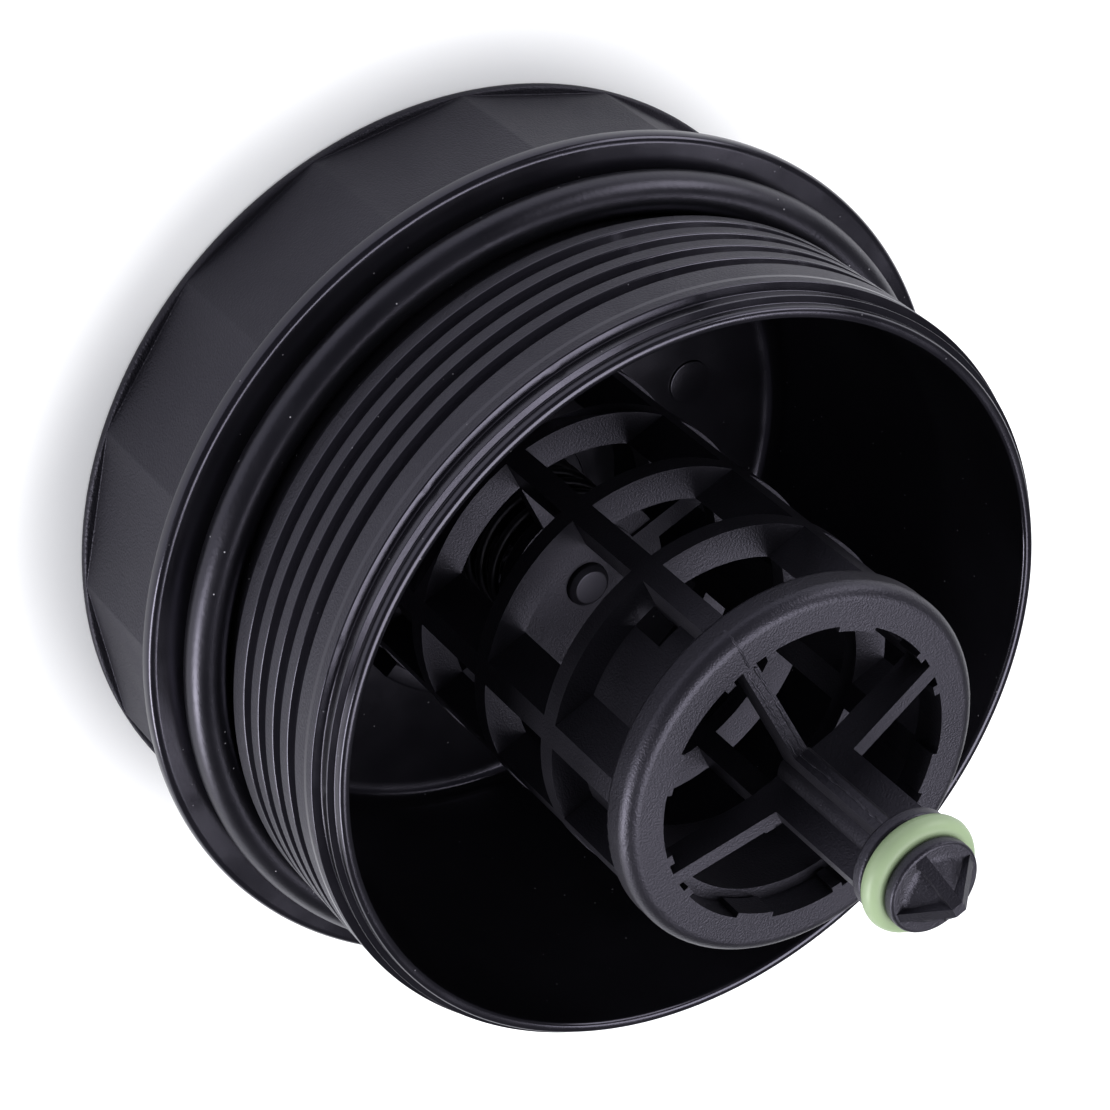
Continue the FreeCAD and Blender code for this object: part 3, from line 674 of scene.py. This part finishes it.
class OBJECT_OT_oil_filter_fingers(bpy.types.Operator):
    """Add the snap fingers and pads that hold the cage, and the ejector marks on the cap's floor"""
    bl_idname = "object.oil_filter_fingers"
    bl_label = "Add Snap Fingers"

    def execute(self, context):
        nylon = material_set()["glass_filled_nylon_polished"]
        tree = ring_tree("repeat_round_axis")
        finger = sector_mesh("snap_finger", [
            (FINGER_INNER_R, ROOT_Z, 0, 0),
            (FINGER_OUTER_R, ROOT_Z, 0, 0),
            (FINGER_OUTER_R, FINGER_TOP, 0.3 * MM, 0),
            (FINGER_INNER_R, FINGER_TOP, 0.2 * MM, 0),
            (HOOK_R, HOOK_HIGH, 0.1 * MM, 0),
            (HOOK_R, HOOK_LOW, 0.1 * MM, 0),
            (FINGER_INNER_R, HOOK_LOW, 0.1 * MM, 0),
        ], math.radians(50))
        pad = sector_mesh("snap_pad", [
            (PAD_INNER_R, ROOT_Z, 0, 0),
            (PAD_OUTER_R, ROOT_Z, 0, 0),
            (PAD_OUTER_R, PAD_TOP, 0.15 * MM, 0),
            (PAD_INNER_R, PAD_TOP, 0.15 * MM, 0),
        ], math.radians(30))
        points, faces, _ = lathe([
            (0, EJECTOR_TOP, 0, 0), (EJECTOR_R, EJECTOR_TOP, 0.1 * MM, 0),
            (EJECTOR_R, ROOT_Z, 0, 0), (0, ROOT_Z, 0, 0)], 48, 3)
        mark = bpy.data.meshes.new("ejector_mark")
        mark.from_pydata([(x + EJECTOR_CIRCLE_R, y, z) for x, y, z in points], [], faces)
        mark.shade_smooth()
        mark.set_sharp_from_angle(angle=SHARP_ANGLE)
        for name, mesh, first in (
            ("snap_fingers", finger, 45.0), ("snap_pads", pad, 45.0), ("ejector_marks", mark, 256.0),
        ):
            piece = grown(name, mesh, tree, {
                "Count": 4, "First Angle": math.radians(first), "Material": nylon})
            face_outwards(piece.data)
            finish_piece(piece, "cap", [])
        return {"FINISHED"}


class OBJECT_OT_oil_filter_spring(bpy.types.Operator):
    """Add the spring that holds the bypass valve shut"""
    bl_idname = "object.oil_filter_spring"
    bl_label = "Add Bypass Spring"

    def execute(self, context):
        spring = context.scene.oil_filter_spring
        half = spring.wire / 2
        low, high = SPRING_LOW.z + 1.2 * half, SPRING_HIGH.z - 1.2 * half
        piece = grown("valve_spring", bpy.data.meshes.new("spring_start"), spring_tree("helical_spring"), {
            "Coils": spring.coils,
            "Mean Radius": SPRING_HIGH.x - half,
            "Height": high - low,
            "Wire": spring.wire,
            "Start Height": low,
            "Material": material_set()["spring_steel_drawn"],
        })
        finish_piece(piece, "cage", ["bypass_spring"])
        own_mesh(piece)
        return {"FINISHED"}


# ---- seals ------------------------------------------------------------------------------------------

SEAL_FLASH = 0.02 * MM


def o_ring_piece(name, low, high, material, body, node):
    """A round rubber ring filling a CAD box, with the thin flash line of its mould."""
    section = (high.z - low.z) / 2
    centre_r, centre_z = high.x - section, (high.z + low.z) / 2
    around, across = 288, 48
    points, faces = [], []
    for j in range(around):
        angle = math.tau * j / around
        for i in range(across):
            tilt = math.tau * i / across
            r = section + (SEAL_FLASH if i in (0, across // 2) else 0.0)
            reach = centre_r + r * math.cos(tilt)
            points.append((reach * math.cos(angle), reach * math.sin(angle),
                           centre_z + section * math.sin(tilt)))
    for j in range(around):
        for i in range(across):
            a, b = j * across, (j + 1) % around * across
            faces.append([a + i, b + i, b + (i + 1) % across, a + (i + 1) % across])
    piece = new_piece(name, points, faces, [0] * len(faces), [material])
    finish_piece(piece, body, [node])


class OBJECT_OT_oil_filter_seals(bpy.types.Operator):
    """Add the main seal behind the thread and the drain pin's seal"""
    bl_idname = "object.oil_filter_seals"
    bl_label = "Add Seals"

    def execute(self, context):
        materials = material_set()
        o_ring_piece("main_seal", SEAL_LOW, SEAL_HIGH, materials["nitrile_rubber_black"],
                     "cap", "cap_o_ring")
        o_ring_piece("pin_seal", PIN_SEAL_LOW, PIN_SEAL_HIGH, materials["silicone_rubber_green"],
                     "cage", "drain_pin_o_ring")
        return {"FINISHED"}


# ---- cage -------------------------------------------------------------------------------------------

CAGE_EDGE_ROUND = 0.24 * MM


class OBJECT_OT_oil_filter_cage(bpy.types.Operator):
    """Add the windowed cage with the drain pin, with its edges rounded as a mould leaves them"""
    bl_idname = "object.oil_filter_cage"
    bl_label = "Add Cage"

    def execute(self, context):
        mesh = frame["nodes"]["support_cage"].data.copy()
        mesh.name = "cage_and_pin"
        mesh.materials.clear()
        mesh.materials.append(material_set()["glass_filled_nylon_satin"])
        work = bmesh.new()
        work.from_mesh(mesh)
        bmesh.ops.remove_doubles(work, verts=work.verts, dist=1e-6)
        bmesh.ops.dissolve_limit(work, angle_limit=math.radians(0.4), verts=work.verts, edges=work.edges)
        work.to_mesh(mesh)
        work.free()
        mesh.polygons.foreach_set("material_index", [0] * len(mesh.polygons))
        if mesh.has_custom_normals:
            mesh.attributes.remove(mesh.attributes["custom_normal"])
        mesh.shade_smooth()
        piece = placed("cage_and_pin", mesh)
        bevel = piece.modifiers.new("Moulded Edges", "BEVEL")
        bevel.width = CAGE_EDGE_ROUND
        bevel.segments = 2
        bevel.limit_method = "ANGLE"
        bevel.angle_limit = math.radians(40)
        bevel.use_clamp_overlap = True
        weigh_normals(piece)
        finish_piece(piece, "cage", ["support_cage"])
        return {"FINISHED"}


class OBJECT_OT_oil_filter_flash(bpy.types.Operator):
    """Add the ragged parting flash where the cage's mould halves meet"""
    bl_idname = "object.oil_filter_flash"
    bl_label = "Add Parting Flash"

    def execute(self, context):
        hub_z, pin_z = 67.3, 80.2
        # Lines in millimetres, on the side of +X: over the ring, two along the arm, and down the pin.
        lines = [
            [(19.66, 0, 63.6), (19.45, 0, 64.6), (18.9, 0, 65.12), (18.2, 0, 65.28), (15.7, 0, 65.28)],
            [(15.4, 0.42, 65.35), (10.0, 0.30, 66.33), (4.8, 0.40, 67.28)],
            [(15.4, -0.40, 65.35), (10.0, -0.46, 66.33), (4.8, -0.36, 67.28)],
            [(4.72, 0.1, hub_z), (4.72, -0.1, (hub_z + pin_z) / 2), (4.72, 0, pin_z)],
        ]
        points, edges = [], []
        for side in (1, -1):
            for line in lines:
                edges += [(len(points) + i, len(points) + i + 1) for i in range(len(line) - 1)]
                points += [(side * x * MM, y * MM, z * MM) for x, y, z in line]
        mesh = bpy.data.meshes.new("flash_lines")
        mesh.from_pydata(points, edges, [])
        piece = grown("parting_flash", mesh, flash_tree("parting_line_flash"), {
            "Width": 0.26 * MM, "Raggedness": 0.5 * MM, "Grain": 0.35 * MM,
            "Material": material_set()["glass_filled_nylon_satin"]})
        finish_piece(piece, "cage", [])
        return {"FINISHED"}


# ---- bypass valve -----------------------------------------------------------------------------------

PLUNGER_TOP = 10.2 * MM
PLUNGER_DISC = 1.6 * MM
NOSE_TIP_R, NOSE_R = 3.2 * MM, 6.4 * MM
SPIGOT_R, SPIGOT_HEIGHT = 6.6 * MM, 1.2 * MM
STEM_R, STEM_CHAMFER = 2.3 * MM, 0.5 * MM
SEAT_BORE_R = 7.2 * MM
SEAT_LIP_HEIGHT = 0.6 * MM
SEAT_LIP_INNER_R, SEAT_LIP_OUTER_R, SEAT_LIP_FOOT_R = 7.8 * MM, 8.4 * MM, 8.6 * MM


class OBJECT_OT_oil_filter_valve(bpy.types.Operator):
    """Add the bypass valve's seat ring and its plunger"""
    bl_idname = "object.oil_filter_valve"
    bl_label = "Add Bypass Valve"

    def execute(self, context):
        nylon = material_set()["nylon_valve_black"]
        low, lip, outer = SEAT_LOW.z, SEAT_HIGH.z, SEAT_HIGH.x
        face = lip - SEAT_LIP_HEIGHT
        middle = ((SEAT_BORE_R + outer) / 2, low, 0, 0)
        seat = new_piece("valve_seat", *lathe([
            middle, (outer, low, 0.15 * MM, 0), (outer, face, 0.1 * MM, 0),
            (SEAT_LIP_FOOT_R, face, 0.1 * MM, 0), (SEAT_LIP_OUTER_R, lip, 0.1 * MM, 0),
            (SEAT_LIP_INNER_R, lip, 0.1 * MM, 0), (SEAT_BORE_R, face, 0.1 * MM, 0),
            (SEAT_BORE_R, low, 0.15 * MM, 0), middle,
        ], 160), [nylon])
        finish_piece(seat, "cage", ["valve_seat_ring"])
        disc_low, top, tip = PLUNGER_TOP - PLUNGER_DISC, PLUNGER_HIGH.z, PLUNGER_LOW.z
        disc_r, spigot_top = PLUNGER_HIGH.x, PLUNGER_TOP + SPIGOT_HEIGHT
        plunger = new_piece("valve_plunger", *lathe([
            (0, tip, 0, 0), (NOSE_TIP_R, tip, 0.3 * MM, 0), (NOSE_R, disc_low, 0.15 * MM, 0),
            (disc_r, disc_low, 0.15 * MM, 0), (disc_r, PLUNGER_TOP, 0.15 * MM, 0),
            (SPIGOT_R, PLUNGER_TOP, 0.15 * MM, 0), (SPIGOT_R, spigot_top, 0.15 * MM, 0),
            (STEM_R, spigot_top, 0.2 * MM, 0), (STEM_R, top - STEM_CHAMFER, 0.1 * MM, 0),
            (STEM_R - STEM_CHAMFER, top, 0.1 * MM, 0), (0, top, 0, 0),
        ], 128), [nylon])
        finish_piece(plunger, "plunger", ["bypass_plunger"])
        return {"FINISHED"}


# ---- stage ------------------------------------------------------------------------------------------

LAMP_AIM = Vector((0, 0, 0.04))
CAMERA_PLACE = Vector((0.2373, 0.0609, 0.2821))
CAMERA_FORWARD = Vector((-0.6613, -0.1698, -0.7307)).normalized()
CAMERA_UP = Vector((0.6532, -0.6091, -0.4497))
CAMERA_LENS = 113.5
SENSOR_WIDTH = 36.0
FLOOR_RADIUS = 6.0


def soft_lamp(name, place, size, power):
    """A white area lamp that faces the object."""
    data = bpy.data.lights.new(name, "AREA")
    data.shape = "RECTANGLE"
    data.size, data.size_y = size
    data.energy = power
    lamp = placed(name, data)
    lamp.location = place
    lamp.rotation_euler = (LAMP_AIM - Vector(place)).to_track_quat("-Z", "Y").to_euler()


class OBJECT_OT_oil_filter_stage(bpy.types.Operator):
    """Add the pale floor, the soft lamps, the room's light and the camera"""
    bl_idname = "object.oil_filter_stage"
    bl_label = "Add Stage"

    def execute(self, context):
        scene = context.scene
        stage = scene.oil_filter_stage
        # Matt white paper: no gloss, a faint fibre in its tone.
        paper = bpy.data.materials.new("matt_white_paper")
        tree = empty_tree(paper)
        place = add_node(tree, "ShaderNodeTexCoord").outputs["Object"]
        fibre = add_node(tree, "ShaderNodeTexNoise", Vector=place, Scale=120.0, Detail=2.0)
        tone = tuple(stage.floor_colour)
        base = add_node(tree, "ShaderNodeMix", {"data_type": "RGBA"}, i0=fibre.outputs["Fac"],
                        i6=tuple(0.985 * c for c in tone) + (1.0,), i7=tone + (1.0,))
        seen = add_node(tree, "ShaderNodeLightPath").outputs["Is Camera Ray"]
        given = add_node(tree, "ShaderNodeMix", {"data_type": "RGBA"}, i0=seen, i6=linear("#CFCFD2"),
                         i7=base.outputs[2])
        surface = add_node(tree, "ShaderNodeBsdfDiffuse", Color=given.outputs[2])
        add_node(tree, "ShaderNodeOutputMaterial", Surface=surface.outputs[0])
        bpy.ops.mesh.primitive_circle_add(
            vertices=128, radius=FLOOR_RADIUS, fill_type="NGON", location=(0, 0, 0))
        floor = context.active_object
        floor.name = "floor"
        floor.data.materials.append(paper)

        # The room lights matt surfaces fully and is dim in reflections; behind the floor it is white.
        world = bpy.data.worlds.new("studio")
        tree = empty_tree(world)
        path = add_node(tree, "ShaderNodeLightPath")
        room = add_node(tree, "ShaderNodeBackground", Color=linear("#F0F1F6"), Strength=1.0)
        dim = add_node(tree, "ShaderNodeBackground", Color=linear("#DDDCEC"), Strength=0.16)
        seen = add_node(tree, "ShaderNodeBackground", Color=(1, 1, 1, 1), Strength=1.0)
        mirrored = add_node(tree, "ShaderNodeMixShader", i0=path.outputs["Is Glossy Ray"],
                            i1=room.outputs[0], i2=dim.outputs[0])
        mixed = add_node(tree, "ShaderNodeMixShader", i0=path.outputs["Is Camera Ray"],
                         i1=mirrored.outputs[0], i2=seen.outputs[0])
        add_node(tree, "ShaderNodeOutputWorld", Surface=mixed.outputs[0])
        scene.world = world

        soft_lamp("overhead", (-0.26, -0.08, 0.90), (0.62, 0.62), stage.lamp_power)
        soft_lamp("side_left", (0.00, 0.90, 0.12), (0.6, 0.3), 9.0)
        soft_lamp("side_top", (0.25, -0.90, 0.45), (0.5, 0.5), 4.0)

        data = bpy.data.cameras.new("camera")
        data.sensor_fit = "HORIZONTAL"
        data.sensor_width = SENSOR_WIDTH
        data.lens = CAMERA_LENS
        data.clip_start = 0.01
        data.clip_end = 50.0
        up = (CAMERA_UP - CAMERA_FORWARD * CAMERA_UP.dot(CAMERA_FORWARD)).normalized()
        axes = Matrix((CAMERA_FORWARD.cross(up), up, -CAMERA_FORWARD)).transposed()
        scene.camera = placed("camera", data)
        scene.camera.matrix_world = Matrix.Translation(CAMERA_PLACE) @ axes.to_4x4()
        scene.view_settings.view_transform = "Standard"
        return {"FINISHED"}


OPERATORS = (
    OBJECT_OT_oil_filter_cap,
    OBJECT_OT_oil_filter_fingers,
    OBJECT_OT_oil_filter_seals,
    OBJECT_OT_oil_filter_cage,
    OBJECT_OT_oil_filter_flash,
    OBJECT_OT_oil_filter_valve,
    OBJECT_OT_oil_filter_spring,
    OBJECT_OT_oil_filter_stage,
)


class VIEW3D_PT_oil_filter(bpy.types.Panel):
    """Lists the pieces"""
    bl_label = "Oil Filter"
    bl_idname = "VIEW3D_PT_oil_filter"
    bl_space_type = "VIEW_3D"
    bl_region_type = "UI"
    bl_category = "Oil Filter"

    def draw(self, context):
        layout = self.layout
        for operator in OPERATORS:
            layout.operator(operator.bl_idname)
        for group in (getattr(context.scene, name) for name in GROUPS):
            box = layout.box()
            for name in group.__annotations__:
                box.prop(group, name)


GROUPS = {
    "oil_filter_cap": OilFilterCap,
    "oil_filter_seals": OilFilterSeals,
    "oil_filter_spring": OilFilterSpring,
    "oil_filter_stage": OilFilterStage,
}
CLASSES = (*GROUPS.values(), *OPERATORS, VIEW3D_PT_oil_filter)


def register():
    for cls in CLASSES:
        bpy.utils.register_class(cls)
    for name, group in GROUPS.items():
        setattr(bpy.types.Scene, name, bpy.props.PointerProperty(type=group))


def unregister():
    for name in GROUPS:
        delattr(bpy.types.Scene, name)
    for cls in reversed(CLASSES):
        bpy.utils.unregister_class(cls)


def main():
    register()
    bpy.ops.object.oil_filter_cap()
    bpy.ops.object.oil_filter_fingers()
    bpy.ops.object.oil_filter_seals()
    bpy.ops.object.oil_filter_cage()
    bpy.ops.object.oil_filter_flash()
    bpy.ops.object.oil_filter_valve()
    bpy.ops.object.oil_filter_spring()
    bpy.ops.object.oil_filter_stage()


if __name__ == "__main__":
    main()
